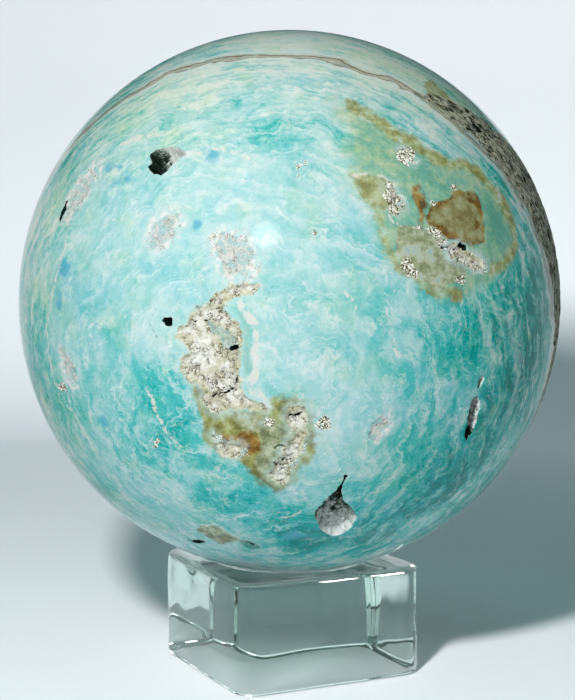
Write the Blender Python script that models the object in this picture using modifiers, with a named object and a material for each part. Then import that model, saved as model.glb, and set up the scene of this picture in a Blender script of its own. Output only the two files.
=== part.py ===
"""A polished blue aragonite sphere, about 90 mm across, resting on a clear pressed-glass stand.

The origin is the middle of the stand's underside, with +Z up. The stand's sides face along X and Y, and the
sphere's best side, with its pits and chalky crust, looks towards -Y and a little to -X.
Places on the sphere are given as on a clock face that lies on its best side: a clock angle, in degrees
clockwise from the top, and a tilt, in degrees away from the middle of the face, so that 90 is the limb and
180 the middle of the back.
"""

import math

import bmesh
import bpy
from mathutils import Matrix, Vector, noise

MM = 0.001

BALL_RADIUS = 45.0 * MM
BALL_CENTRE_HEIGHT = 61.35 * MM
BALL_COLOUR = (0.36, 0.68, 0.68, 1.0)
BALL_ROUGHNESS = 0.15

FACE_AZIMUTH = -26.4
FACE_RISE = 1.75

STAND_SIDE = 34.0 * MM
STAND_HEIGHT = 18.0 * MM
STAND_CORNER = 4.0 * MM
STAND_EDGE = 1.0 * MM
STAND_COLOUR = (0.86, 0.92, 0.90, 1.0)
GLASS_IOR = 1.5

DISH_RADIUS = 12.6 * MM
DISH_DEPTH = 3.4 * MM
DISH_LIP = 0.6 * MM
TURNED_STEPS = 30
LIP_STEPS = 3
HOLLOW_STEPS = 5

# The ball's faces are split where its crust is rough: long edges over crust deeper than a given depth.
BALL_SUBDIVISIONS = 5
ROUGH_EDGE = 2.2 * MM
SHALLOW_CRUST = 0.24 * MM
DEEP_EDGE = 1.3 * MM
DEEP_CRUST = 0.63 * MM

# A crust's outline wanders, its depth fades in over a margin at its edge, and its surface crumbles.
OUTLINE_WANDER = 0.35
OUTLINE_GRAIN = 110.0
CRUST_MARGIN = 0.2
CRUST_FADE = 0.45
ROUGH_GRAIN = 520.0
ROUGH_MEAN = 0.5
ROUGH_SWING = 0.9
ROUGH_RANGE = (0.1, 1.2)

# Each pit is cut by a lumpy pebble, which has a finer mesh where the pit is long.
LONG_PIT = 6.0
LUMP_HEIGHT = 0.22
LUMP_GRAIN = 1.9
LUMP_SHIFT = Vector((0.37, 0.53, 0.29))

# Name, clock, tilt, length, width and depth in mm, and the turn of the length from "up" on the clock face.
VUGS = (
    ("upper_left", 319, 37, 6.4, 4.6, 3.6, 65),
    ("upper_left_tail", 323, 40, 3.4, 2.2, 1.6, 60),
    ("pinhole", 261, 22.6, 1.7, 1.4, 2.2, 90),
    ("teardrop", 169, 47.5, 7.0, 6.4, 3.4, 0),
    ("teardrop_neck", 164, 40, 5.0, 2.2, 1.8, -14),
    ("slit", 122, 44.5, 8.4, 2.5, 3.0, 16),
    ("slit_end", 112, 41.8, 3.2, 1.5, 1.6, 10),
    ("crust_hole", 231, 12.9, 1.6, 1.1, 1.4, 80),
    ("low_scoop", 196, 54.5, 6.0, 4.2, 0.9, 75),
    ("low_scoop_end", 189, 57, 4.6, 2.4, 0.8, 80),
    ("low_slit", 201, 62, 3.0, 1.2, 1.2, 75),
    ("seam_hole", 47, 61, 2.6, 1.6, 1.6, -40),
    ("ochre_pit", 72, 35.5, 3.4, 1.3, 1.5, -65),
    ("left_hole", 292, 55, 3.6, 1.5, 1.6, 10),
    ("band_hole_upper", 62, 68, 1.8, 1.3, 1.3, 0),
    ("band_hole_middle", 76, 71, 2.2, 1.4, 1.5, -10),
    ("band_hole_lower", 90, 75, 2.4, 1.2, 1.4, 0),
    ("back_large", 205, 128, 7.0, 4.4, 3.2, 40),
    ("back_round", 48, 138, 4.6, 3.8, 2.8, 10),
    ("back_small", 296, 150, 2.8, 2.0, 2.0, 70),
)

# Name, clock, tilt, length, width and depth of the roughness in mm, and the turn of the length from "up".
CRUSTS = (
    ("neck", 281, 9.5, 8.0, 3.2, 0.45, 55),
    ("head", 244, 15.5, 13.5, 8.5, 0.75, -5),
    ("throat", 219, 19.5, 8.5, 7.0, 0.65, -15),
    ("foot", 199, 28.0, 8.0, 12.0, 0.40, 0),
    ("right_lobe", 181, 26.5, 11.5, 6.0, 0.70, -10),
    ("face_cluster", 311, 13, 7.0, 5.0, 0.35, -25),
    ("upper_cluster", 300, 27, 5.5, 4.0, 0.40, 40),
    ("left_cluster", 298, 52, 8.0, 4.5, 0.50, 25),
    ("low_left_cluster", 254, 50, 6.0, 3.0, 0.35, -20),
    ("ochre_top", 40, 33, 5.0, 3.5, 0.35, -50),
    ("ochre_streak", 57, 28, 8.5, 3.5, 0.45, -10),
    ("ochre_low", 73, 35, 8.0, 4.5, 0.65, -60),
    ("ochre_heart", 64, 36, 7.5, 7.0, 0.35, 0),
    ("right_low", 144, 29, 4.5, 3.5, 0.30, 20),
    ("back_crust", 190, 118, 15.0, 9.0, 0.65, 30),
    ("back_patch", 70, 150, 10.0, 7.0, 0.50, 10),
)

# The stone grew in flat beds. The clock and tilt say which way they face, and heights and widths across
# them are in ball radii. A brown seam lies between two beds, and at the right it widens into a rough band.
BED_CLOCK = 204.5
BED_TILT = 22
SEAM_HEIGHT = 0.235
BAND_CLOCK = 78
BAND_REACH = 50
BAND_WIDTH = 0.42
BAND_EDGE = 0.03
BAND_ROUGHNESS = 0.44 * MM


def empty_scene():
    for old in list(bpy.data.objects):
        bpy.data.objects.remove(old)


def collection(name):
    made = bpy.data.collections.new(name)
    bpy.context.scene.collection.children.link(made)
    return made


def material(name, colour, roughness, transmission=0.0, ior=GLASS_IOR):
    made = bpy.data.materials.new(name)
    made.use_nodes = True
    shader = made.node_tree.nodes["Principled BSDF"]
    shader.inputs["Base Color"].default_value = colour
    shader.inputs["Roughness"].default_value = roughness
    shader.inputs["Metallic"].default_value = 0.0
    shader.inputs["Transmission Weight"].default_value = transmission
    shader.inputs["IOR"].default_value = ior
    made.diffuse_color = colour
    return made


def add_object(name, mesh, into, finish=None):
    made = bpy.data.objects.new(name, mesh)
    into.objects.link(made)
    if finish is not None:
        mesh.materials.append(finish)
    return made


def face_axes():
    """Right, up and outward directions of the clock face on the sphere's best side."""
    turn = math.radians(FACE_AZIMUTH)
    rise = math.radians(FACE_RISE)
    outward = Vector((math.sin(turn) * math.cos(rise), -math.cos(turn) * math.cos(rise), math.sin(rise)))
    right = Vector((0, 0, 1)).cross(outward).normalized()
    return right, outward.cross(right), outward


def on_ball(clock, tilt):
    """The direction from the sphere's centre to a place on the clock face."""
    right, up, outward = face_axes()
    angle = math.radians(clock)
    lean = math.radians(tilt)
    sideways = right * math.sin(angle) + up * math.cos(angle)
    return outward * math.cos(lean) + sideways * math.sin(lean)


def tangent_axes(clock, tilt, turn):
    """Length, width and outward directions of a mark there, its length turned from the face's up."""
    outward = on_ball(clock, tilt)
    up = face_axes()[1]
    along = (up - outward * up.dot(outward)).normalized()
    along = Matrix.Rotation(-math.radians(turn), 3, outward) @ along
    return along, along.cross(outward), outward


def crust_fields():
    """Each crust as its axes, half length, half width and depth, in metres."""
    return [
        (*tangent_axes(clock, tilt, turn), length * MM / 2, width * MM / 2, depth * MM)
        for _, clock, tilt, length, width, depth, turn in CRUSTS
    ]


def bed_side():
    """The direction across the sphere's beds, and the way along the band's middle."""
    across = on_ball(BED_CLOCK, BED_TILT)
    middle = on_ball(BAND_CLOCK, 90)
    return across, (middle - across * middle.dot(across)).normalized()


def band_share(direction, across, middle):
    """1 inside the rough matrix band, 0 away from it, with soft ends and sides."""
    height = direction.dot(across)
    flat = (direction - across * height).normalized()
    turn = math.degrees(flat.angle(middle))
    if turn > BAND_REACH:
        return 0.0
    width = BAND_WIDTH * (1 - (turn / BAND_REACH) ** 2)
    inside = min(SEAM_HEIGHT - height, height - (SEAM_HEIGHT - width))
    return max(0.0, min(1.0, inside / BAND_EDGE))


def roughness_depth(direction, crusts, across, middle):
    """How deep the weathered crust may lie below the polished ball in that direction, in metres."""
    deepest = BAND_ROUGHNESS * band_share(direction, across, middle)
    wander = 1.0 + OUTLINE_WANDER * noise.noise(direction * BALL_RADIUS * OUTLINE_GRAIN)
    for along, sideways, outward, half_length, half_width, depth in crusts:
        if direction.dot(outward) < 0:
            continue
        x = direction.dot(along) * BALL_RADIUS / half_length
        y = direction.dot(sideways) * BALL_RADIUS / half_width
        reach = 1.0 - wander * math.hypot(x, y)
        if reach > -CRUST_MARGIN:
            deepest = max(deepest, depth * min(1.0, (reach + CRUST_MARGIN) / CRUST_FADE))
    return deepest


def refine_rough_places(bm, depth_at):
    """Splits the long edges where the crust is rough, and again where it is deep, along the ball's skin."""
    for longest, least_depth in ((ROUGH_EDGE, SHALLOW_CRUST), (DEEP_EDGE, DEEP_CRUST)):
        rough = [
            edge
            for edge in bm.edges
            if edge.calc_length() > longest
            and any(depth_at(vert.co.normalized()) > least_depth for vert in edge.verts)
        ]
        bmesh.ops.subdivide_edges(bm, edges=rough, cuts=1)
        bmesh.ops.triangulate(bm, faces=bm.faces[:])
        for vert in bm.verts:
            vert.co = vert.co.normalized() * BALL_RADIUS


def weather(bm, depth_at):
    """Sinks the rough places by a crumbly noise; the polished skin stays on the ball."""
    for vert in bm.verts:
        direction = vert.co.normalized()
        depth = depth_at(direction)
        if depth > 0:
            crumble = ROUGH_MEAN + ROUGH_SWING * noise.fractal(vert.co * ROUGH_GRAIN, 0.9, 2.1, 2)
            vert.co = direction * (BALL_RADIUS - depth * min(ROUGH_RANGE[1], max(ROUGH_RANGE[0], crumble)))


def ball_mesh():
    crusts = crust_fields()
    across, middle = bed_side()

    def depth_at(direction):
        return roughness_depth(direction, crusts, across, middle)

    bm = bmesh.new()
    bmesh.ops.create_icosphere(bm, subdivisions=BALL_SUBDIVISIONS, radius=BALL_RADIUS)
    refine_rough_places(bm, depth_at)
    weather(bm, depth_at)
    mesh = bpy.data.meshes.new("aragonite_sphere")
    bm.to_mesh(mesh)
    bm.free()
    return mesh


def vug_cutter(name, clock, tilt, length, width, depth, turn, into):
    """A lumpy pebble, centred on the ball's skin, that hollows out one pit."""
    along, sideways, outward = tangent_axes(clock, tilt, turn)
    bm = bmesh.new()
    rings = 3 if length > LONG_PIT else 2
    bmesh.ops.create_icosphere(bm, subdivisions=rings, radius=1.0)
    lumps = LUMP_SHIFT * Vector((clock, tilt, turn))
    for vert in bm.verts:
        vert.co *= 1.0 + LUMP_HEIGHT * noise.noise(vert.co * LUMP_GRAIN + lumps)
    half = Vector((length, width, depth * 2)) * MM / 2
    axes = Matrix((along * half.x, sideways * half.y, outward * half.z)).transposed()
    place = Matrix.Translation(outward * BALL_RADIUS + Vector((0, 0, BALL_CENTRE_HEIGHT)))
    bmesh.ops.transform(bm, matrix=place @ axes.to_4x4(), verts=bm.verts[:])
    bmesh.ops.recalc_face_normals(bm, faces=bm.faces[:])
    mesh = bpy.data.meshes.new("cut_" + name)
    bm.to_mesh(mesh)
    bm.free()
    return as_cutter(add_object("cut_" + name, mesh, into))


def as_cutter(obj):
    obj.hide_render = True
    obj.display_type = "WIRE"
    return obj


def cut(obj, cutter):
    boolean = obj.modifiers.new("cut " + cutter.name, "BOOLEAN")
    boolean.operation = "DIFFERENCE"
    boolean.object = cutter
    boolean.solver = "EXACT"


def make_sphere(parts, cutters):
    """The polished stone: one solid ball with its pits cut in."""
    finish = material("polished_aragonite", BALL_COLOUR, BALL_ROUGHNESS)
    ball = add_object("aragonite_sphere", ball_mesh(), parts, finish)
    ball.location.z = BALL_CENTRE_HEIGHT
    for vug in VUGS:
        cut(ball, vug_cutter(*vug, cutters))
    ball.data.shade_smooth()
    return ball


def block_mesh():
    """The glass block: upright corners rounded wide, top and bottom edges softened."""
    bm = bmesh.new()
    bmesh.ops.create_cube(bm, size=1.0)
    bmesh.ops.scale(bm, vec=(STAND_SIDE, STAND_SIDE, STAND_HEIGHT), verts=bm.verts[:])
    bmesh.ops.translate(bm, vec=(0, 0, STAND_HEIGHT / 2), verts=bm.verts[:])
    upright = [e for e in bm.edges if abs(e.verts[0].co.z - e.verts[1].co.z) > STAND_HEIGHT / 2]
    bmesh.ops.bevel(bm, geom=upright, offset=STAND_CORNER, segments=5, profile=0.5, affect="EDGES")
    level = [
        e
        for e in bm.edges
        if abs(e.verts[0].co.z - e.verts[1].co.z) < STAND_HEIGHT / 100
        and min(abs(e.verts[0].co.z), abs(e.verts[0].co.z - STAND_HEIGHT)) < STAND_HEIGHT / 100
    ]
    bmesh.ops.bevel(bm, geom=level, offset=STAND_EDGE, segments=2, profile=0.5, affect="EDGES")
    mesh = bpy.data.meshes.new("glass_stand")
    bm.to_mesh(mesh)
    bm.free()
    return mesh


def dish_profile():
    """The dish's outline, from above the stand down to the axis: a small lip, then a hollow arc."""
    rim = DISH_RADIUS + DISH_LIP
    points = [(rim, STAND_HEIGHT + 4 * DISH_LIP)]
    for step in range(LIP_STEPS + 1):
        angle = math.pi / 2 * step / LIP_STEPS
        points.append(
            (rim - DISH_LIP * math.sin(angle), STAND_HEIGHT - DISH_LIP * (1 - math.cos(angle)))
        )
    sag = DISH_DEPTH - DISH_LIP
    hollow_radius = (DISH_RADIUS**2 + sag**2) / (2 * sag)
    bottom = STAND_HEIGHT - DISH_DEPTH
    opening = math.asin(DISH_RADIUS / hollow_radius)
    for step in range(1, HOLLOW_STEPS + 1):
        angle = opening * (1 - step / HOLLOW_STEPS)
        points.append(
            (hollow_radius * math.sin(angle), bottom + hollow_radius * (1 - math.cos(angle)))
        )
    return points


def dish_cutter(into):
    """The tool that presses the round seat: its profile turned once about the stand's axis."""
    points = dish_profile()
    points.insert(0, (0.0, points[0][1]))
    mesh = bpy.data.meshes.new("cut_dish")
    edges = [(i, i + 1) for i in range(len(points) - 1)]
    mesh.from_pydata([(x, 0.0, z) for x, z in points], edges, [])
    dish = as_cutter(add_object("cut_dish", mesh, into))
    screw = dish.modifiers.new("turn", "SCREW")
    screw.axis = "Z"
    screw.steps = TURNED_STEPS
    screw.render_steps = TURNED_STEPS
    screw.use_merge_vertices = True
    screw.merge_threshold = 0.00001
    return dish


def make_stand(parts, cutters):
    """The clear stand: one pressed block with a dish in its top, where the ball rests on the lip."""
    finish = material("clear_glass", STAND_COLOUR, 0.02, transmission=1.0)
    stand = add_object("glass_stand", block_mesh(), parts, finish)
    cut(stand, dish_cutter(cutters))
    return stand


def main():
    empty_scene()
    parts = collection("aragonite_sphere_on_stand")
    cutters = collection("cutters")
    make_sphere(parts, cutters)
    make_stand(parts, cutters)


main()
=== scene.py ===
# %% [markdown]
# # A polished blue aragonite sphere on a glass stand
# The stone is a ball about 90 mm across. Turquoise and white beds run through it, with open pits and crusts
# that were too soft to take a polish. It rests in the dish of a clear block of pressed glass.
# The construction is already there: the frame holds one solid for the ball and one for the stand, at their
# real size. This lesson gives them their looks, with a finer mesh and a procedural material for each.

# %% Load the frame
import math

import bpy
import numpy as np
from mathutils import Matrix, Vector, noise


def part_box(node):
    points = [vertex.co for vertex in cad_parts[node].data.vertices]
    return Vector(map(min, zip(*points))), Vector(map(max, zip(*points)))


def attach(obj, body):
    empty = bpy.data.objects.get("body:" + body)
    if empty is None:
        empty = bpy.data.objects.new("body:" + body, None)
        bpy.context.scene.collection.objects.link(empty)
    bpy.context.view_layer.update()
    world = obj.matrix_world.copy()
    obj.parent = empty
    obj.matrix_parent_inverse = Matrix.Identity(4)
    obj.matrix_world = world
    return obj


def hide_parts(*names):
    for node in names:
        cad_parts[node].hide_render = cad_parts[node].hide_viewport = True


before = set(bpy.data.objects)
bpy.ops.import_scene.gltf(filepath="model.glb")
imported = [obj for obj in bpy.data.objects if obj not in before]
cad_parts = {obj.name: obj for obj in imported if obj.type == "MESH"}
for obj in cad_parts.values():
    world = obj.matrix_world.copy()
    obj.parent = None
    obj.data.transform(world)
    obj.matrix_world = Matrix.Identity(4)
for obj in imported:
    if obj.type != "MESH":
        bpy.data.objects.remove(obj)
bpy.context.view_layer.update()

MM = 0.001
BALL_LOW, BALL_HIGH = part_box("aragonite_sphere")
STAND_LOW, STAND_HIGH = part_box("glass_stand")
BALL_CENTRE = (Vector(BALL_LOW) + Vector(BALL_HIGH)) / 2
BALL_RADIUS = (BALL_HIGH[2] - BALL_LOW[2]) / 2
print("ball radius", round(BALL_RADIUS / MM, 2), "mm, centre height", round(BALL_CENTRE.z / MM, 2), "mm")

# %% [markdown]
# ## Finding places on the ball
# Marks on a ball are easiest to give as on a clock face laid on its best side. The clock angle runs clockwise
# from the top, and the tilt is the angle away from the middle of the face: 90 is the limb, 180 the far side.
# Marks that were read from the photograph are given in its pixels instead, and a ray from the camera finds
# where they lie on the ball. Both end as directions from the ball's centre, so the marks sit on the stone
# itself and hold from every side.

# %% The clock face and the photograph's view
FACE_AZIMUTH = -26.4
FACE_RISE = 1.75
PHOTO_WIDTH = 575
PHOTO_HEIGHT = 700
LENS = 75.0
SENSOR = 36.0
CAMERA_DISTANCE = 246.2 * MM
BALL_IN_PHOTO = (289.7, 302.8)


def face_axes():
    """Right, up and outward directions of the clock face, as the rows of an array."""
    turn = math.radians(FACE_AZIMUTH)
    rise = math.radians(FACE_RISE)
    outward = Vector((math.sin(turn) * math.cos(rise), -math.cos(turn) * math.cos(rise), math.sin(rise)))
    right = Vector((0, 0, 1)).cross(outward).normalized()
    return np.array((right, outward.cross(right), outward))


def camera_axes():
    """Right, up and forward directions of the camera, turned so that the ball falls where it does in the photo."""
    right, up, outward = (Vector(axis) for axis in face_axes())
    pixels = LENS / SENSOR * PHOTO_HEIGHT
    x = (BALL_IN_PHOTO[0] - PHOTO_WIDTH / 2) / pixels
    y = (PHOTO_HEIGHT / 2 - BALL_IN_PHOTO[1]) / pixels
    turn = Vector((0, 0, 1)).rotation_difference(Vector((x, y, 1))).to_matrix()
    level = Matrix((right, up, -outward))
    return turn @ level


FACE = face_axes()
VIEW = camera_axes()
CAMERA_PLACE = BALL_CENTRE + Vector(FACE[2]) * CAMERA_DISTANCE


def seen_at(points):
    """Directions from the ball's centre to the places seen at those pixels of the photo."""
    pixels = LENS / SENSOR * PHOTO_HEIGHT
    points = np.atleast_2d(np.array(points, float))
    rays = np.stack(
        ((points[:, 0] - PHOTO_WIDTH / 2) / pixels, (PHOTO_HEIGHT / 2 - points[:, 1]) / pixels,
         np.ones(len(points))), axis=1)
    rays = rays @ np.array(VIEW)
    rays /= np.linalg.norm(rays, axis=1)[:, None]
    start = np.array(CAMERA_PLACE - BALL_CENTRE)
    along = rays @ start
    beyond = np.maximum(along**2 - (start @ start - BALL_RADIUS**2), 0)
    hits = start + rays * (-along - np.sqrt(beyond))[:, None]
    return hits / np.linalg.norm(hits, axis=1)[:, None]


def on_clock(clock, tilt):
    """The direction to a place given by clock and tilt, in degrees."""
    angle, lean = math.radians(clock), math.radians(tilt)
    sideways = FACE[0] * math.sin(angle) + FACE[1] * math.cos(angle)
    return FACE[2] * math.cos(lean) + sideways * math.sin(lean)


def chart(directions):
    """A flat map of the ball in mm, spread round the middle of the face, for outlines to be drawn on."""
    x, y, z = (directions @ axis for axis in FACE)
    lean = np.arccos(np.clip(z, -1, 1))
    side = np.maximum(np.hypot(x, y), 1e-9)
    return np.stack((x / side * lean, y / side * lean), axis=1) * BALL_RADIUS / MM


print("the middle of the face is seen at", BALL_IN_PHOTO, "and its chart place is", chart(FACE[2:3])[0].round(2))

# %% [markdown]
# ## The marks
# The pits and crusts follow the construction's own table, so that they lie where its solids have them. Three
# of the smallest pits are drawn a little smaller here, and one crust some 5 mm lower, as the photograph shows
# them. The other marks are what this one stone shows: chalk where it crumbled, ochre and olive where iron
# crept in, bright grit in a few spots, and beds of turquoise, teal and white. A mark is an outline or a line
# with only the corners that it needs.

# %% Pits, crusts and beds
# Name, clock, tilt, length, width and depth in mm, turn of the length, and where the pit is deepest, both
# in degrees from "up".
PITS = (
    ("pinhole", 261, 22.6, 1.7, 1.4, 2.2, 90, 0),
    ("crust_hole", 231, 12.9, 1.5, 0.8, 1.2, 80, 90),
    ("low_slit", 201, 62, 3.0, 1.2, 1.2, 75, 0),
    ("seam_hole", 47, 61, 2.6, 1.6, 1.6, -40, 0),
    ("ochre_pit", 72, 35.5, 2.2, 0.8, 1.0, -65, 0),
    ("left_hole", 292, 55, 3.4, 1.2, 1.4, 10, 90),
    ("band_hole_upper", 62, 68, 1.8, 1.3, 1.3, 0, 90),
    ("band_hole_middle", 76, 71, 2.2, 1.4, 1.5, -10, 90),
    ("band_hole_lower", 90, 75, 2.4, 1.2, 1.4, 0, 90),
    ("back_large", 205, 128, 7.0, 4.4, 3.2, 40, 0),
    ("back_round", 48, 138, 4.6, 3.8, 2.8, 10, 30),
    ("back_small", 296, 150, 2.8, 2.0, 2.0, 70, 0),
)

# The large pits of the face, outlined in pixels of the photo: depth in mm, the way to the deep side, and how much of
# the pit is painted dark: partly its darker stone, partly painted shade on the deep wall.
UPPER_PIT = ((149, 155), (153, 151), (161, 148), (172, 146), (179, 147), (187, 154), (181, 158), (175, 163),
             (168, 170), (161, 175), (154, 174), (149, 171), (148, 166), (151, 161))
TEARDROP = ((345, 475), (341, 484), (334, 492), (323, 502), (315, 513), (316, 521), (322, 531), (331, 536),
            (341, 535), (351, 528), (357, 517), (350, 507), (343, 498), (342, 488), (347, 477))
SLIT_TOP = ((482, 374), (485, 378), (482, 386), (478, 389), (479, 381))
SLIT = ((478, 395), (481, 403), (479, 413), (476, 424), (467, 441), (465, 436), (467, 422), (469, 411),
        (473, 399))
OUTLINED_PITS = (
    ("upper_left", UPPER_PIT, 3.0, 250, 0.28),
    ("teardrop", TEARDROP, 3.2, 0, 0.54),
    ("slit_top", SLIT_TOP, 1.4, 270, 0.5),
    ("slit", SLIT, 2.6, 270, 0.55),
)

# Name, clock, tilt, length, width and depth of the roughness in mm, and the turn of the length from "up".
CRUSTS = (
    ("face_cluster", 311, 13, 7.0, 5.0, 0.25, -25),
    ("upper_cluster", 300, 27, 5.5, 4.0, 0.30, 40),
    ("left_cluster", 298, 52, 8.0, 4.5, 0.40, 25),
    ("low_left_cluster", 254, 50, 6.0, 3.0, 0.30, -20),
    ("ochre_top", 45, 28, 3.6, 1.8, 0.30, -15),
    ("right_low", 144, 29, 4.0, 2.6, 0.25, 20),
    ("back_crust", 190, 118, 15.0, 9.0, 0.65, 30),
    ("back_patch", 70, 150, 10.0, 7.0, 0.50, 10),
)

BED_CLOCK = 204.5
BED_TILT = 22
SEAM_HEIGHT = 0.235
BAND_CLOCK = 78
BAND_REACH = 50
BAND_WIDTH = 0.42
BAND_EDGE = 0.03

# %% The lower patch: crumbling chalk with an olive foot, in pixels of the photo
CHALK_TAIL = ((257, 283), (242, 284), (229, 286), (221, 292), (211, 299), (208, 306), (219, 307), (227, 302),
              (238, 296), (251, 294), (261, 289))
CHALK_HEAD = ((192, 314), (208, 306), (224, 308), (233, 320), (242, 332), (242, 341), (239, 352), (241, 359),
              (238, 370), (241, 380), (242, 391), (251, 400), (262, 404), (268, 411), (254, 411), (236, 409),
              (224, 411), (218, 415), (208, 408), (202, 399), (203, 389), (191, 382), (182, 373), (180, 369),
              (182, 358), (188, 352), (185, 343), (179, 339), (177, 331), (184, 323))
CHALK_LOBE = ((291, 406), (303, 407), (307, 414), (306, 424), (304, 434), (297, 434), (290, 427), (284, 421),
              (286, 412))
CHALK_STREAK = ((305, 430), (303, 446), (298, 458), (290, 467), (289, 480), (279, 484), (269, 476), (275, 466),
                (281, 455), (286, 446), (293, 436))
CHALK_KNOB = ((213, 434), (216, 442), (224, 443), (236, 443), (242, 450), (236, 458), (226, 458), (216, 449))
CLEFT = ((209, 323), (218, 326), (228, 332), (236, 338), (240, 345), (233, 349), (225, 348), (220, 340),
         (213, 333))
STRIP = ((239, 306), (245, 316), (251, 330), (252, 345), (251, 360), (247, 376), (243, 366), (243, 345),
         (242, 325))
WINDOW = ((215, 371), (222, 367), (231, 370), (232, 378), (225, 386), (217, 385))
GREY_POOL = ((222, 413), (239, 411), (254, 413), (268, 417), (272, 424), (266, 433), (248, 432), (236, 425),
             (225, 418))
PEARL = ((258, 420), (266, 418), (271, 422), (267, 426), (260, 426))
RUST_FOOT = ((217, 440), (233, 431), (248, 432), (259, 440), (261, 450), (248, 457), (240, 460), (232, 448))
OLIVE_FOOT = ((189, 378), (194, 396), (199, 410), (203, 425), (208, 442), (216, 452), (226, 460), (239, 463),
              (249, 469), (254, 478), (267, 485), (280, 487), (289, 482), (294, 470), (307, 456), (316, 439),
              (313, 422), (306, 405), (292, 400), (277, 398), (267, 405), (240, 408), (216, 408), (203, 390))

LOBE_GLASS = ((262, 430), (278, 424), (290, 430), (296, 440), (288, 450), (280, 460), (270, 473), (259, 470),
              (258, 455), (261, 442))
SMEAR = ((190, 317), (196, 309), (205, 303), (216, 296), (221, 298), (213, 307), (204, 313), (196, 319))
SHELF = ((198, 530), (205, 526), (214, 525), (223, 529), (231, 535), (238, 540), (232, 544), (220, 543),
         (208, 538))
SHELF_HOLLOW = ((240, 541), (249, 542), (256, 545), (259, 548), (252, 550), (244, 547))

# %% The upper patch: an olive ring round ochre, rust and grey glassy lobes, in pixels of the photo
PATCH_B = ((328, 98), (344, 104), (360, 114), (386, 127), (413, 137), (430, 150), (448, 160), (474, 167), (492, 181),
           (501, 198), (513, 228), (517, 245), (502, 270), (484, 283), (466, 296), (455, 305), (434, 294),
           (404, 274), (384, 250), (378, 228), (366, 200), (350, 180), (358, 162), (344, 148),
           (354, 132), (338, 116))
RING = ((352, 106), (366, 112), (384, 124), (398, 136), (413, 140), (432, 156), (451, 164), (474, 170), (498, 194),
        (510, 220), (514, 244), (504, 262), (492, 272))
LEFT_EDGE = ((352, 174), (362, 190), (375, 212), (382, 235), (392, 258), (413, 279), (440, 293), (452, 300))
KHAKI = ((354, 175), (370, 178), (386, 180), (394, 192), (392, 204), (384, 211), (374, 204), (366, 192))
RUST_STREAK = ((413, 185), (420, 187), (427, 198), (427, 212), (424, 229), (419, 228), (420, 212), (415, 200))
EAR = ((430, 205), (443, 200), (458, 191), (472, 192), (481, 204), (482, 223), (481, 243), (466, 245),
       (446, 237), (431, 225))
GREY_LOBE = ((402, 225), (423, 230), (439, 240), (448, 256), (463, 270), (458, 282), (444, 290), (423, 280),
             (406, 266), (397, 248))
OCHRE_END = ((450, 292), (459, 288), (463, 296), (457, 305), (450, 303))
GRANULES = ((398, 149), (406, 146), (416, 155), (417, 164), (410, 166), (402, 157))
GRANULES_LOW = ((447, 247), (456, 244), (466, 250), (480, 258), (484, 267), (472, 268), (459, 262), (450, 255))
BAND_BLOCK = ((424, 84), (432, 80), (447, 95), (457, 107), (450, 114), (438, 110), (428, 96))

# %% Lines, small spots and broad tints, in pixels of the photo
# Each line has its half width in mm and its points.
WHITE_LINES = (
    (0.45, (240, 302), (248, 314), (255, 327), (258, 339), (257, 352), (257, 361), (254, 371), (252, 383),
     (259, 397), (268, 406)),
    (0.22, (186, 153), (207, 151), (227, 148), (243, 153), (254, 165)),
    (0.30, (120, 144), (145, 137), (173, 132)),
    (0.22, (75, 190), (62, 260), (47, 320), (52, 370), (65, 400), (95, 450)),
    (0.20, (148, 391), (155, 414), (168, 433), (181, 446)),
    (0.24, (353, 175), (370, 176), (386, 180), (394, 190), (396, 204), (386, 212)),
    (0.18, (386, 212), (402, 224), (422, 229), (438, 240), (450, 256)),
    (0.20, (448, 112), (462, 122), (478, 138), (496, 162), (512, 190), (524, 222)),
    (0.16, (205, 526), (214, 524), (224, 529), (236, 538), (253, 544)),
    (0.14, (242, 550), (251, 552), (259, 549)),
    (0.13, (503, 306), (515, 325), (522, 350), (523, 378), (516, 402)),
    (0.16, (208, 322), (216, 330), (222, 338), (226, 347)),
    (0.14, (200, 507), (207, 512), (220, 517), (236, 521)),
    (0.14, (278, 519), (290, 517), (302, 512)),
    (0.16, (345, 290), (356, 300), (352, 315)),
    (0.16, (388, 330), (392, 344), (402, 356)),
)
CLOUDS = (
    (0.9, (118, 150), (150, 125), (165, 108), (198, 126), (216, 119), (252, 108), (300, 103), (340, 104)),
    (0.6, (200, 165), (240, 158), (290, 165), (330, 158)),
    (0.8, (215, 230), (228, 250), (240, 272), (250, 280)),
    (0.9, (150, 320), (160, 345), (168, 360)),
    (0.5, (499, 308), (510, 325), (517, 350), (518, 375), (512, 400), (505, 420)),
    (0.5, (95, 210), (88, 240), (78, 280)),
)
DARK_LINES = (
    (0.12, (216, 384), (218, 389)),
    (0.14, (219, 394), (226, 393), (233, 388), (237, 379)),
    (0.13, (211, 397), (219, 395)),
    (0.14, (275, 448), (280, 446), (284, 447)),
    (0.14, (290, 416), (296, 416), (302, 413)),
    (0.10, (274, 463), (277, 466)),
    (0.10, (280, 466), (284, 459)),
    (0.12, (442, 247), (453, 248), (458, 250)),
    (0.12, (188, 540), (195, 541), (202, 543)),
    (0.09, (193, 322), (199, 320), (206, 321)),
    (0.09, (212, 309), (222, 308)),
)
BLUE_SPOTS = ((197, 224, 1.2), (128, 178, 1.0), (108, 168, 1.0), (117, 164, 0.9), (64, 268, 1.3), (60, 300, 1.1),
              (92, 340, 0.8), (212, 158, 1.2), (400, 240, 1.5), (455, 186, 1.4), (104, 420, 1.2), (290, 535, 1.6))

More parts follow.
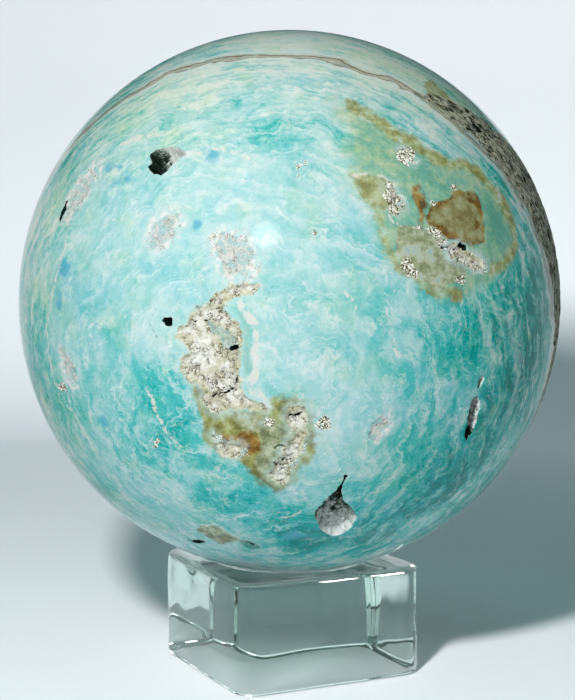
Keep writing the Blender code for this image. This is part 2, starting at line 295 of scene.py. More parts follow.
# Bright grit: x and y in pixels of the photo, and reach in mm.
GRIT = ((404, 156, 1.2), (412, 151, 1.0), (391, 196, 1.2), (396, 209, 1.0), (389, 186, 0.7), (408, 265, 1.0),
        (415, 275, 1.1), (434, 234, 0.9), (443, 243, 1.0), (461, 256, 1.6), (471, 263, 1.5), (481, 267, 1.0),
        (420, 228, 0.7), (431, 200, 0.6), (455, 190, 0.6), (461, 280, 0.8), (225, 300, 0.9), (202, 308, 0.8),
        (300, 412, 1.1), (297, 428, 1.2), (299, 445, 1.0), (289, 462, 1.3), (281, 474, 1.1), (233, 446, 1.3),
        (220, 440, 0.8), (243, 452, 0.8), (268, 421, 0.8), (325, 422, 0.9), (156, 445, 1.0), (160, 438, 0.7),
        (236, 345, 0.8), (197, 330, 0.9), (302, 166, 0.9), (298, 176, 0.7), (309, 232, 0.8), (62, 386, 1.0))

# Broad tints: x and y in pixels of the photo, reach in mm, and strength.
DEEPER = ((492, 225, 5, 0.7), (403, 216, 3, 0.6), (425, 172, 4, 0.6), (500, 180, 4, 0.4), (530, 300, 9, 1.0),
          (520, 380, 9, 1.0), (505, 330, 6, 0.6), (450, 480, 12, 0.85), (490, 430, 8, 0.6),
          (305, 535, 8, 0.8), (380, 525, 9, 0.8), (240, 500, 8, 0.45), (160, 430, 8, 0.5), (60, 400, 8, 0.4),
          (100, 490, 8, 0.5), (470, 340, 8, 0.6), (35, 330, 5, 0.4), (165, 390, 4, 0.4),
          (440, 420, 8, 0.4), (260, 130, 5, 0.3), (440, 380, 7, 0.1))
# Paler spots: partly the stone's paler tone and, strongest along the top limb, painted light from above.
PALER_AND_LIT_TOP = ((255, 235, 9, 0.5), (225, 190, 9, 0.4), (165, 335, 5, 0.6), (320, 190, 9, 0.35), (300, 260, 9, 0.35),
         (120, 230, 7, 0.35), (300, 130, 9, 0.2), (430, 125, 6, 0.4), (340, 430, 6, 0.15), (210, 210, 5, 0.3),
         (290, 45, 14, 1.5), (200, 75, 10, 1.3), (380, 65, 10, 1.3), (460, 105, 7, 0.8), (330, 95, 8, 0.4), (150, 110, 8, 0.5),
         (230, 100, 7, 0.5))
GREENER = ((60, 200, 9, 0.6), (40, 300, 7, 0.8), (60, 420, 9, 0.8), (130, 120, 10, 0.6), (170, 130, 7, 0.5),
           (400, 75, 8, 0.6), (470, 115, 7, 0.9), (400, 455, 6, 0.5), (250, 285, 3, 0.6), (250, 50, 12, 0.1), (500, 330, 9, 0.5), (370, 150, 5, 0.9), (90, 480, 9, 0.7),
           (250, 420, 5, 0.3), (480, 240, 6, 0.6), (345, 300, 5, 0.4))
BLUER = ((120, 175, 5, 0.7), (65, 285, 5, 0.8), (300, 520, 8, 0.5), (240, 300, 8, 0.3), (310, 330, 8, 0.3),
         (80, 330, 5, 0.5), (430, 140, 7, 0.4), (330, 90, 9, 0.3))

print(len(PITS) + len(OUTLINED_PITS), "pits,", len(CRUSTS) + 4, "crusts and", len(WHITE_LINES), "white lines")

# %% [markdown]
# ## The ball's mesh
# A polished ball needs few faces, because smooth shading hides them, but a crumbled crust needs many. So an
# ico sphere is added at the real size and only the faces near a mark are subdivided, up to four times. Every
# new point is then put back on the ball, which keeps the polished skin an exact sphere.

# %% Measuring how far a place is inside a mark
FAR = -9.0


def loop(points, steps=4):
    """A closed smooth curve through the points."""
    points = np.array(points, float)
    before, after, beyond = np.roll(points, 1, 0), np.roll(points, -1, 0), np.roll(points, -2, 0)
    curve = []
    for step in range(steps):
        t = step / steps
        curve.append(0.5 * (2 * points + (after - before) * t
                            + (2 * before - 5 * points + 4 * after - beyond) * t**2
                            + (3 * points - before - 3 * after + beyond) * t**3))
    return np.stack(curve, axis=1).reshape(-1, 2)


def open_curve(points):
    """A smooth curve through the points, from the first to the last."""
    points = np.array(points, float)
    ends = np.vstack((2 * points[0] - points[1], points, 2 * points[-1] - points[-2]))
    return loop(ends)[4:-7]


def to_segments(places, starts, ends):
    """Least distance from each place to any of the segments."""
    nearest = np.full(len(places), 1e9)
    for start, end in zip(starts, ends):
        run = end - start
        share = np.clip(((places - start) @ run) / max(run @ run, 1e-12), 0, 1)
        nearest = np.minimum(nearest, np.linalg.norm(places - start - share[:, None] * run, axis=1))
    return nearest


def inside(places, outline):
    """True for the places inside a closed outline."""
    result = np.zeros(len(places), bool)
    for (x1, y1), (x2, y2) in zip(outline, np.roll(outline, -1, 0)):
        crosses = (y1 > places[:, 1]) != (y2 > places[:, 1])
        level = (x2 - x1) * (places[:, 1] - y1) / (y2 - y1 if y2 != y1 else 1e-12) + x1
        result ^= crosses & (places[:, 0] < level)
    return result


def near_curve(directions, curve, margin=4.0):
    """The places on the front of the ball that lie near a curve on the chart: a mask, and their chart places."""
    low, high = curve.min(0) - margin, curve.max(0) + margin
    places = chart(directions)
    near = (directions @ FACE[2] > 0) & np.all((places > low) & (places < high), axis=1)
    return near, places[near]


def reach_inside(directions, pixels):
    """How far each place lies inside an outline drawn on the photo, in mm; less than 0 is outside."""
    outline = chart(seen_at(loop(pixels)))
    near, places = near_curve(directions, outline)
    distance = to_segments(places, outline, np.roll(outline, -1, 0))
    result = np.full(len(directions), FAR)
    result[near] = np.where(inside(places, outline), distance, -distance)
    return result


def reach_line(directions, half_width, *pixels):
    """How far each place lies inside a line drawn on the photo, in mm."""
    line = chart(seen_at(open_curve(pixels)))
    near, places = near_curve(directions, line)
    result = np.full(len(directions), FAR)
    result[near] = half_width - to_segments(places, line[:-1], line[1:])
    return result


def reach_spot(directions, x, y, radius):
    """How far each place lies inside a round spot, in mm."""
    middle = seen_at((x, y))[0]
    return radius - np.arccos(np.clip(directions @ middle, -1, 1)) * BALL_RADIUS / MM


def furthest(directions, outlines):
    return np.max([reach_inside(directions, outline) for outline in outlines], axis=0)


def tangents(clock, tilt, turn):
    """Length, width and outward directions of a mark, its length turned from the face's up."""
    outward = on_clock(clock, tilt)
    along = FACE[1] - outward * (FACE[1] @ outward)
    along = Matrix.Rotation(-math.radians(turn), 3, Vector(outward)) @ Vector(along).normalized()
    return np.array(along), np.array(along.cross(Vector(outward))), outward


def oval(directions, clock, tilt, length, width, turn):
    """0 in the middle of an oval mark, 1 at its edge, and more outside."""
    along, sideways, outward = tangents(clock, tilt, turn)
    x = directions @ along * BALL_RADIUS / MM / (length / 2)
    y = directions @ sideways * BALL_RADIUS / MM / (width / 2)
    return np.where(directions @ outward > 0, np.hypot(x, y), 99.0)


def band_share(directions):
    """1 inside the rough band of matrix, 0 at its edge and less outside."""
    across = on_clock(BED_CLOCK, BED_TILT)
    middle = on_clock(BAND_CLOCK, 90)
    middle = middle - across * (middle @ across)
    middle /= np.linalg.norm(middle)
    height = directions @ across
    flat = directions - height[:, None] * across
    flat /= np.maximum(np.linalg.norm(flat, axis=1), 1e-9)[:, None]
    turn = np.degrees(np.arccos(np.clip(flat @ middle, -1, 1)))
    width = BAND_WIDTH * np.maximum(0, 1 - (turn / BAND_REACH) ** 2)
    depth = np.minimum(SEAM_HEIGHT - height, height - (SEAM_HEIGHT - width))
    return np.where(turn < BAND_REACH, depth / BAND_EDGE, FAR)


# %% Add the ball and split its faces near the marks
CHALK = (CHALK_TAIL, CHALK_HEAD, CHALK_LOBE, CHALK_STREAK, CHALK_KNOB)
GRANULAR = (GRANULES, GRANULES_LOW)
FINE_OUTLINES = (WINDOW, GREY_POOL, PEARL, RUST_FOOT, STRIP, LOBE_GLASS, SMEAR, SHELF, SHELF_HOLLOW, KHAKI,
                 RUST_STREAK, EAR, GREY_LOBE, OCHRE_END, BAND_BLOCK)


def clear_selection():
    if bpy.context.object and bpy.context.object.mode != "OBJECT":
        bpy.ops.object.mode_set(mode="OBJECT")
    bpy.ops.object.select_all(action="DESELECT")


def directions_of(obj):
    places = np.empty(len(obj.data.vertices) * 3)
    obj.data.vertices.foreach_get("co", places)
    places = places.reshape(-1, 3) - np.array(BALL_CENTRE)
    return places / np.linalg.norm(places, axis=1)[:, None]


def set_places(obj, places):
    obj.data.vertices.foreach_set("co", places.reshape(-1))
    obj.data.update()


def closeness(directions):
    """How often the faces at each place are split: 4 times in a pit or on the chalk, 0 on plain skin."""
    level = np.zeros(len(directions))

    def raise_near(reach, *steps):
        for least, times in steps:
            np.maximum(level, np.where(reach > least, times, 0), out=level)

    for _, clock, tilt, length, width, _, turn, _ in PITS:
        reach = (1 - oval(directions, clock, tilt, length, width, turn)) * width / 2
        raise_near(reach, (-0.6, 4), (-1.6, 2))
    for _, outline, _, _, _ in OUTLINED_PITS:
        raise_near(reach_inside(directions, outline), (-0.4, 4), (-1.5, 2))
    for outline in CHALK + (GRANULES_LOW, CLEFT):
        raise_near(reach_inside(directions, outline), (-0.4, 3), (-1.4, 2))
    for _, clock, tilt, length, width, _, turn in CRUSTS:
        reach = (1 - oval(directions, clock, tilt, length, width, turn)) * width / 2
        raise_near(reach, (-0.8, 3), (-2, 1))
    for outline in FINE_OUTLINES + (GRANULES,):
        raise_near(reach_inside(directions, outline), (-1.0, 2), (-2.0, 1))
    for outline in (OLIVE_FOOT, PATCH_B):
        raise_near(reach_inside(directions, outline), (-1.5, 1))
    for line in WHITE_LINES + DARK_LINES:
        raise_near(reach_line(directions, *line), (-0.9, 2), (-1.8, 1))
    for line in DARK_LINES:
        raise_near(reach_line(directions, *line), (-0.3, 4))
    raise_near(band_share(directions), (-1.0, 2))
    return level


def split_faces(obj, level):
    """Subdivides the faces that have a corner that near to a mark."""
    near = closeness(directions_of(obj)) >= level
    corners = np.empty(len(obj.data.polygons) * 3, int)
    obj.data.polygons.foreach_get("vertices", corners)
    chosen = near[corners.reshape(-1, 3)].any(axis=1)
    clear_selection()
    bpy.context.view_layer.objects.active = obj
    obj.select_set(True)
    bpy.ops.object.mode_set(mode="EDIT")
    bpy.ops.mesh.select_mode(type="FACE")
    bpy.ops.mesh.select_all(action="DESELECT")
    bpy.ops.object.mode_set(mode="OBJECT")
    obj.data.polygons.foreach_set("select", chosen)
    bpy.ops.object.mode_set(mode="EDIT")
    bpy.ops.mesh.subdivide(number_cuts=1)
    bpy.ops.mesh.select_all(action="SELECT")
    bpy.ops.mesh.quads_convert_to_tris(quad_method="SHORTEST_DIAGONAL", ngon_method="BEAUTY")
    bpy.ops.object.mode_set(mode="OBJECT")
    set_places(obj, np.array(BALL_CENTRE) + directions_of(obj) * BALL_RADIUS)


clear_selection()
bpy.ops.mesh.primitive_ico_sphere_add(subdivisions=6, radius=BALL_RADIUS, location=BALL_CENTRE)
ball = bpy.context.object
ball.name = "polished_stone"
bpy.ops.object.transform_apply(location=True, rotation=False, scale=False)
for level in (1, 2, 3, 4):
    split_faces(ball, level)
    print("after split", level, "the ball has", len(ball.data.polygons), "faces")

# %% [markdown]
# ## Pits and crusts
# A pit is a hollow with a steep wall and a floor that slopes up to one side, covered with small crystals. A
# crust is a shallow, crumbly dip. Both are made by moving the mesh's points straight in, towards the ball's
# centre: that is what happened to the stone, which was ground round first and lost its soft parts after.


# %% Noise for every point of the mesh
def rough(places, size, octaves=3, seed=0.0):
    """Layered noise between about -1 and 1 at places in mm, with lumps of the given size."""
    shift = Vector((seed, seed * 0.7, seed * 1.3))
    return np.array([noise.fractal(Vector(p) / size + shift, 0.8, 2.1, octaves) for p in places])


def crystals(places, size, seed=0.0):
    """Small facets: distance to the nearest of many scattered points, 0 to about 1."""
    shift = Vector((seed, seed * 0.7, seed * 1.3))
    return np.array([noise.voronoi(Vector(p) / size + shift)[0][0] for p in places])


def smooth(value, low, high):
    share = np.clip((value - low) / (high - low), 0, 1)
    return share * share * (3 - 2 * share)


def roughened(reach, size, amount, seed, margin):
    """The same reach with its edge broken up by noise."""
    near = reach > -margin
    reach = reach.copy()
    reach[near] += amount * rough(places[near], size, 3, seed)
    return reach


# %% Sink the pits
skin = directions_of(ball)
places = skin * BALL_RADIUS / MM
pit_depth = np.zeros(len(skin))
pit_tone_and_shade = np.zeros(len(skin))


def sink_pit(name, share, side, deepest, dark):
    """Lowers one pit. Share is 1 deep inside it and 0 at its rim, side runs from 0 to 1 towards its deep side."""
    chosen = share > 0
    share, side, spots = share[chosen], side[chosen], places[chosen]
    lumps = rough(spots, 1.3, 3, deepest)
    shade_line = side + 0.22 * lumps + 0.12 * rough(spots, 0.5, 2, deepest) + dark - 1
    grains = 0.55 * crystals(spots, 0.75, deepest) + 0.2 * crystals(spots, 0.3, deepest + 3)
    pale = smooth(shade_line, 0.1, -0.1)
    depth = deepest * smooth(share, 0, 1) * (0.22 + 0.78 * side) * (1 + 0.25 * lumps)
    depth = np.maximum(depth + grains * (0.3 + 0.7 * pale) * share, 0.1 * share)
    pit_depth[chosen] = np.maximum(pit_depth[chosen], depth)
    # How dark the inside is painted: pale on the shallow side, near black on the deep side; partly the stone's own
    # tone, partly painted shade.
    pit_tone_and_shade[chosen] = np.maximum(pit_tone_and_shade[chosen], 0.5 + shade_line + 0.5 * (grains - 0.3))
    print(name, "is", round(float(depth.max()), 1), "mm deep over", int(chosen.sum()), "points")


for name, clock, tilt, length, width, depth, turn, deep_side in PITS:
    reach = (1 - oval(skin, clock, tilt, length, width, turn)) * width / 2
    reach = roughened(reach, 0.9, 0.26, clock, 0.8)
    along, sideways, outward = tangents(clock, tilt, deep_side)
    side = np.clip(0.75 + skin @ along * BALL_RADIUS / MM / length / 2, 0, 1)
    # Small pits are painted dark nearly all over: partly dark stone, partly painted shade.
    sink_pit(name, np.clip(reach / 0.35, 0, 1), side, depth, 0.9 if length < 4 else 0.5)

for name, outline, depth, deep_side, dark in OUTLINED_PITS:
    reach = roughened(reach_inside(skin, outline), 0.9, 0.26, depth, 0.8)
    angle = math.radians(deep_side)
    along = skin @ (FACE[0] * math.sin(angle) + FACE[1] * math.cos(angle))
    low, high = along[reach > 0].min(), along[reach > 0].max()
    side = np.clip((along - low) / (high - low), 0, 1)
    sink_pit(name, np.clip(reach / (0.35 + 0.6 * (1 - side)), 0, 1), side, depth, dark)

# %% Sink the crusts
crust_depth = np.zeros(len(skin))


def sink_crust(share, depth, seed):
    """Lowers one crumbly crust: small heaped granules, and here and there a crevice."""
    chosen = share > 0
    share, spots = share[chosen], places[chosen]
    crumbs = rough(spots, 1.5, 5, seed)
    granules = 0.6 * crystals(spots, 0.55, seed + 2) + 0.4 * crystals(spots, 0.28, seed + 4)
    veins = np.abs(rough(spots, 1.5, 4, seed + 5))
    crevices = smooth(veins, 0.045, 0.0) * smooth(crumbs, -0.25, 0.1)
    down = depth * share * np.clip(0.25 + 0.45 * crumbs + 0.55 * granules + 0.9 * crevices, 0.02, 1.8)
    crust_depth[chosen] = np.maximum(crust_depth[chosen], down)
    # The crevices and the gaps between granules are kept to be painted dark: painted shade.
    crevice_shade[chosen] = np.maximum(crevice_shade[chosen], share * np.maximum(crevices, 0.6 * smooth(granules, 0.6, 0.85)))


crevice_shade = np.zeros(len(skin))
for _, clock, tilt, length, width, depth, turn in CRUSTS:
    reach = (1 - oval(skin, clock, tilt, length, width, turn)) * width / 2
    sink_crust(smooth(roughened(reach, 1.6, 0.9, clock, 2.0), -0.1, 0.5), depth, clock)

chalk = np.full(len(skin), FAR)
for seed, outline in enumerate(CHALK + (GRANULES_LOW,)):
    reach = roughened(reach_inside(skin, outline), 0.7, 0.45, seed + 3.0, 1.2)
    sink_crust(smooth(reach, -0.1, 0.5), 0.55, seed + 11.0)
    chalk = np.maximum(chalk, reach)

cleft = roughened(reach_inside(skin, CLEFT), 0.7, 0.3, 7.0, 1.2)
chalk = np.minimum(chalk, -cleft)
crust_depth = np.maximum(crust_depth, smooth(cleft, -0.2, 0.3) * 0.45)
dark_line = np.max([reach_line(skin, *line) for line in DARK_LINES], axis=0)
dark_line = roughened(dark_line, 0.5, 0.22, 31.0, 0.5) - 0.05
crust_depth = np.maximum(crust_depth, smooth(dark_line, -0.1, 0.1) * 0.8)
band = roughened(band_share(skin), 1.5, 0.8, 21.0, 1.0)
sink_crust(smooth(band, 0.0, 1.0), 0.2, 23.0)
shelf = roughened(reach_inside(skin, SHELF_HOLLOW), 0.7, 0.15, 41.0, 1.0)
crust_depth = np.maximum(crust_depth, smooth(shelf, -0.1, 0.4) * 0.8)

depth = np.maximum(pit_depth, crust_depth)
set_places(ball, np.array(BALL_CENTRE) + skin * (BALL_RADIUS - depth * MM)[:, None])
clear_selection()
ball.select_set(True)
bpy.context.view_layer.objects.active = ball
bpy.ops.object.shade_smooth()
print("deepest pit", round(float(pit_depth.max()), 1), "mm, deepest crust", round(float(crust_depth.max()), 2), "mm")

# %% [markdown]
# ## Telling the material where the marks are
# The material can't read an outline, but it can read numbers kept on the mesh's points. For each kind of
# mark the mesh keeps how far inside it a point lies. Between points that number runs on evenly, so the
# material can cut it off sharply, and roughen the edge with fine noise, far below the size of a face.


# %% Keep the marks as attributes
# Blender draws its noise vectors afresh at each start, unless they are given a seed.
WANDER_SEED = 7
noise.seed_set(WANDER_SEED)


def wandered(directions, size, amount, seed):
    """The same directions, each moved a little, so that an outline read on them wanders."""
    shift = Vector((seed, seed, seed))
    moves = [noise.noise_vector(Vector(d) * (BALL_RADIUS / MM / size) + shift) for d in directions]
    moved = directions + np.array(moves) * (amount * MM / BALL_RADIUS)
    return moved / np.linalg.norm(moved, axis=1)[:, None]


def keep(name, values):
    attribute = ball.data.attributes.new(name, "FLOAT", "POINT")
    attribute.data.foreach_set("value", np.asarray(values, np.float32))


def tint(spots):
    """Broad soft spots, each strongest in its middle, added up."""
    total = np.zeros(len(skin))
    for x, y, radius, strength in spots:
        away = radius - reach_spot(skin, x, y, radius)
        total = np.maximum(total, strength * np.exp(-((away / radius) ** 2)))
    return total


loose = wandered(wandered(skin, 3.0, 0.9, 5.0), 0.9, 0.35, 9.0)
granular = [(1 - oval(loose, clock, tilt, length * 1.3, width * 1.3, turn)) * width / 2
            for _, clock, tilt, length, width, _, turn in CRUSTS]
keep("pit", pit_depth)
keep("pit_tone_and_shade", pit_tone_and_shade)
keep("crust", crust_depth)
keep("crevice_shade", crevice_shade)
keep("chalk", chalk)
keep("dark_line", np.maximum(dark_line, shelf * 0.5 - 0.25))
keep("grit", np.max([reach_spot(loose, *spot) for spot in GRIT], axis=0))
keep("sugar", np.maximum(np.max(granular, axis=0), furthest(loose, GRANULAR)))
keep("olive", reach_inside(loose, OLIVE_FOOT))
keep("patch", reach_inside(loose, PATCH_B))
keep("ring", reach_line(loose, 1.3, *RING))
keep("left_edge", reach_line(loose, 0.4, *LEFT_EDGE))
keep("khaki", furthest(loose, (KHAKI, OCHRE_END, BAND_BLOCK, SMEAR)))
keep("rust", furthest(loose, (RUST_STREAK, RUST_FOOT)))
keep("ear", reach_inside(loose, EAR))
keep("grey", furthest(loose, (GREY_LOBE, GREY_POOL, WINDOW)))
keep("murk", np.maximum(furthest(loose, (LOBE_GLASS, SHELF)), cleft))
keep("strip", reach_inside(loose, STRIP))
keep("band", band_share(loose))
keep("white_line", np.max([reach_line(loose, *line) for line in WHITE_LINES], axis=0))
keep("cloud", np.max([reach_line(loose, *line) for line in CLOUDS] + [reach_inside(loose, PEARL)], axis=0))
keep("blue_spot", np.max([reach_spot(loose, *spot) for spot in BLUE_SPOTS], axis=0))
for name, spots in (("deeper", DEEPER), ("pale_and_lit_top", PALER_AND_LIT_TOP), ("greener", GREENER), ("bluer", BLUER)):
    keep(name, tint(spots))

# %% [markdown]
# ## The stone's finish
# Aragonite grows bed on bed, like the pages of a book. Where the ball cuts the beds steeply they show as thin
# lines, and where it only grazes them they open into clouds. A pattern that is only painted on would not do
# that, so the material works on the depth through the beds, bent by noise, at every point of the skin.


# %% Short words for wiring nodes
class Finish:
    """A material, and short ways to wire its nodes. Each one returns a socket."""

    def __init__(self, name):
        self.material = bpy.data.materials.new(name)
        self.material.use_nodes = True
        self.tree = self.material.node_tree
        self.shader = self.tree.nodes["Principled BSDF"]

    def put(self, socket, value):
        if isinstance(value, bpy.types.NodeSocket):
            self.tree.links.new(value, socket)
        else:
            socket.default_value = value

    def node(self, kind, inputs=(), **settings):
        made = self.tree.nodes.new("ShaderNode" + kind)
        for key, value in settings.items():
            setattr(made, key, value)
        for socket, value in inputs:
            self.put(made.inputs[socket], value)
        return made

    def math(self, operation, *values):
        return self.node("Math", enumerate(values), operation=operation).outputs[0]

    def add(self, *values):
        total = values[0]
        for value in values[1:]:
            total = self.math("ADD", total, value)
        return total

    def times(self, *values):
        total = values[0]
        for value in values[1:]:
            total = self.math("MULTIPLY", total, value)
        return total

    def vector(self, operation, *values):
        made = self.node("VectorMath", enumerate(values), operation=operation)
        return made.outputs["Value" if operation == "DOT_PRODUCT" else "Vector"]

    def noise(self, where, size, detail=3.0, roughness=0.55, distortion=0.0):
        made = self.node("TexNoise", (("Vector", where), ("Scale", 1 / size), ("Detail", detail),
                                      ("Roughness", roughness), ("Distortion", distortion)))
        return made.outputs["Fac"]

    def cells(self, where, size, measure="DISTANCE_TO_EDGE"):
        """Scattered cells: how deep inside its cell a place is, or with F1 a colour for each cell."""
        made = self.node("TexVoronoi", (("Vector", where), ("Scale", 1 / size)), feature=measure)
        return made.outputs["Distance" if measure == "DISTANCE_TO_EDGE" else "Color"]

    def swing(self, where, size, amount, detail=3.0, roughness=0.55):
        """Noise that swings evenly to both sides of 0."""
        return self.times(self.add(self.noise(where, size, detail, roughness), -0.5), amount)

    def between(self, value, low, high):
        made = self.node("MapRange", (("Value", value), ("From Min", low), ("From Max", high)),
                         interpolation_type="SMOOTHSTEP")
        return made.outputs["Result"]

    def near(self, value, middle, half):
        """1 where the value is at the middle, falling to 0 at half a width away."""
        away = self.math("ABSOLUTE", self.math("SUBTRACT", value, middle))
        return self.between(away, half, 0.0)

    def mix(self, share, below, above, blend="MIX"):
        made = self.node("Mix", (), data_type="RGBA", blend_type=blend)
        for socket, value in ((0, share), (6, below), (7, above)):
            self.put(made.inputs[socket], value)
        return made.outputs[2]

    def steps(self, value, *stops):
        """A colour ramp through (position, colour) stops."""
        made = self.node("ValToRGB", (("Fac", value),))
        ramp = made.color_ramp
        for position, colour in stops[2:]:
            ramp.elements.new(position)
        for element, (position, colour) in zip(ramp.elements, stops):
            element.position = position
            element.color = colour
        return made.outputs["Color"]

    def kept(self, name):
        return self.node("Attribute", attribute_name=name).outputs["Fac"]


def shade(red, green, blue):
    """A screen colour, 0 to 255, as the linear colour that a material holds."""
    return tuple(((c / 255 + 0.055) / 1.055) ** 2.4 for c in (red, green, blue)) + (1.0,)


LAMP_GAIN = 1.5


# %% Colours of the stone
DEEP_TEAL = shade(0, 150, 146)
TEAL = shade(2, 182, 176)
TURQUOISE = shade(92, 203, 199)
PALE = shade(162, 220, 219)
MILK = shade(204, 234, 232)
WHITE = shade(240, 246, 242)
GREEN_DRIFT = (0.95, 0.98, 0.89, 1.0)
BLUE_DRIFT = (0.86, 0.96, 1.0, 1.0)
FROST = shade(214, 230, 226)
GREEN_TINT = (0.93, 0.97, 0.82, 1.0)
BLUE = shade(84, 182, 210)
CHALK_WHITE = (1.12, 1.10, 1.00, 1.0)
CHALK_GREY = shade(190, 186, 160)
CHALK_CREVICE_SHADE = shade(70, 68, 48)
OLIVE = shade(166, 162, 88)
OLIVE_PALE = shade(196, 200, 148)
OCHRE = shade(140, 122, 52)
RUST = shade(156, 112, 44)
GREY_GREEN = shade(150, 166, 146)
GREEN_GLASS = shade(112, 172, 150)
PIT_DARK = shade(22, 36, 30)
PIT_PALE = shade(206, 212, 200)
SEAM_BROWN = shade(176, 152, 118)
SEAM_DARK = shade(138, 106, 78)
MATRIX = shade(132, 132, 116)
MATRIX_PALE = shade(214, 210, 184)
MATRIX_DARK = shade(40, 42, 34)


# %% The beds of the stone
class Stone(Finish):
    """The banded stone: places and noises that its layers share."""

    def __init__(self, name):
        super().__init__(name)
        where = self.node("TexCoord").outputs["Object"]
        where = self.vector("SUBTRACT", where, tuple(BALL_CENTRE))
        self.where = self.vector("MULTIPLY", where, (1 / MM,) * 3)
        across = Vector(on_clock(BED_CLOCK, BED_TILT))
        east = across.cross(Vector(FACE[0])).normalized()
        self.height = self.vector("DOT_PRODUCT", self.where, across)
        self.far = self.between(self.vector("DOT_PRODUCT", self.where, tuple(FACE[2])), 2, -20)
        self.east = self.vector("DOT_PRODUCT", self.where, east)
        self.north = self.vector("DOT_PRODUCT", self.where, across.cross(east))
        self.grain = self.noise(self.where, 0.32, 4, 0.7)
        self.frayed = self.swing(self.where, 1.1, 1.9, 5, 0.68)
        strays = self.node("TexNoise", (("Vector", self.where), ("Scale", 1 / 0.9), ("Detail", 4)))
        strays = self.vector("MULTIPLY", self.vector("SUBTRACT", strays.outputs["Color"], (0.5,) * 3), (2.2,) * 3)
        self.crumbs = self.cells(self.vector("ADD", self.where, strays), 0.62)

    def sheets(self, bent, thickness, spread, detail=3.0, roughness=0.55):
        """Noise that is thin across the beds and wide along them."""
        made = self.node("CombineXYZ", ((0, self.math("DIVIDE", self.east, spread)),
                                        (1, self.math("DIVIDE", self.north, spread)),
                                        (2, self.math("DIVIDE", bent, thickness))))
        return self.noise(made.outputs[0], 1.0, detail, roughness)

    def zone(self, name, low=-0.25, high=0.25, frayed=1.0):
        """1 inside a kept mark, with a frayed edge."""
        return self.between(self.add(self.kept(name), self.times(self.frayed, frayed)), low, high)

    def beds(self):
        """The banded colour, before any of the marks."""
        where = self.where
        seam_height = SEAM_HEIGHT * BALL_RADIUS / MM
        from_seam = self.math("ABSOLUTE", self.add(self.height, -seam_height))
        loose = self.between(from_seam, 0.0, 14.0)
        slow = self.times(self.swing(where, 12, 7.0, 2), loose)
        middle = self.times(self.swing(where, 4.0, 3.0, 3), self.add(self.times(loose, 0.75), 0.25))
        fine = self.swing(where, 1.2, 0.9, 5, 0.65)
        bent = self.add(self.height, slow, middle, fine)

        pools = self.between(self.sheets(bent, 2.4, 7, 7, 0.62), 0.52, 0.40)
        milky = self.between(self.sheets(self.add(bent, 40), 1.7, 8, 7, 0.62), 0.50, 0.60)
        pages = self.sheets(self.add(bent, 80), 0.55, 7, 5, 0.62)
        surf = self.between(self.noise(where, 2.4, 8, 0.66, 0.5), 0.50, 0.58)
        wave = self.math("FRACT", self.add(self.times(bent, 0.34), self.swing(where, 2.2, 0.9, 5, 0.6)))
        surf = self.add(surf, self.times(self.between(wave, 0.30, 0.0), self.between(wave, 0.0, 0.02), 0.9))
        mottle = self.noise(where, 1.0, 5, 0.7, 0.3)
        rim = self.between(self.height, 36, 14)
        vigour = self.add(0.38, self.times(rim, 0.45), self.times(self.kept("deeper"), 0.6),
                          self.times(self.kept("pale_and_lit_top"), -0.1))
        leaves = self.times(self.add(pages, -0.5), self.add(0.65, self.times(rim, 0.8)))
        pattern = self.add(self.times(self.add(0.5, self.times(pools, -1.0)), 0.26),
                           self.times(self.add(milky, -0.45), 0.25), self.times(self.add(surf, -0.4), 0.22),
                           leaves, self.times(self.add(mottle, -0.5), 0.6))
        # The tone takes the kept paler spots, partly painted light along the top limb.
        tone = self.add(0.65, self.times(pattern, vigour), self.times(self.kept("deeper"), -0.56),
                        self.times(self.kept("pale_and_lit_top"), 0.24), self.swing(where, 17, 0.25, 1),
                        self.times(self.far, self.swing(where, 13, 0.9, 2)))
        colour = self.steps(tone, (0.05, DEEP_TEAL), (0.25, TEAL), (0.45, TURQUOISE), (0.62, PALE), (0.80, MILK),
                            (1.0, WHITE))

        lines = self.near(self.sheets(bent, 1.3, 14, 2), 0.5, 0.014)
        lines = self.times(lines, self.between(self.noise(where, 5, 2), 0.42, 0.6))
        edges = self.near(self.noise(where, 3.0, 4, 0.6, 1.6), 0.5, 0.010)
        threads = self.near(self.sheets(self.add(bent, 160), 0.9, 9, 4, 0.62), 0.5, 0.022)
        threads = self.times(threads, self.between(self.noise(where, 6, 3), 0.42, 0.62))
        thin = self.add(1.0, self.times(self.kept("deeper"), -0.7))
        colour = self.mix(self.times(lines, thin, 0.6), colour, WHITE)
        colour = self.mix(self.times(edges, thin, 0.2), colour, WHITE)
        colour = self.mix(self.times(threads, thin, 0.6), colour, WHITE)

        crests = self.times(self.between(wave, 0.13, 0.0), self.between(self.noise(where, 3.5, 4, 0.6), 0.46, 0.58))
        colour = self.mix(self.times(crests, thin, 0.6), colour, WHITE)
        frost = self.times(self.between(self.noise(where, 0.8, 4, 0.7), 0.50, 0.58),
                           self.between(self.noise(where, 5, 4), 0.52, 0.62))
        colour = self.mix(self.times(frost, thin, 0.4), colour, FROST)
        hue = self.noise(where, 4.5, 4, 0.6)
        colour = self.mix(self.between(hue, 0.52, 0.66), colour, GREEN_DRIFT, "MULTIPLY")
        colour = self.mix(self.between(hue, 0.48, 0.36), colour, BLUE_DRIFT, "MULTIPLY")
        green = self.add(self.kept("greener"), self.times(rim, 0.35), self.swing(where, 9, 0.5, 2))
        colour = self.mix(green, colour, GREEN_TINT, "MULTIPLY")
        blue = self.times(self.kept("bluer"), self.between(self.noise(where, 2.2, 4, 0.65), 0.46, 0.62))
        colour = self.mix(self.times(blue, 0.55), colour, BLUE)
        colour = self.mix(self.times(self.zone("blue_spot", -0.3, 0.5), 0.75), colour, BLUE)

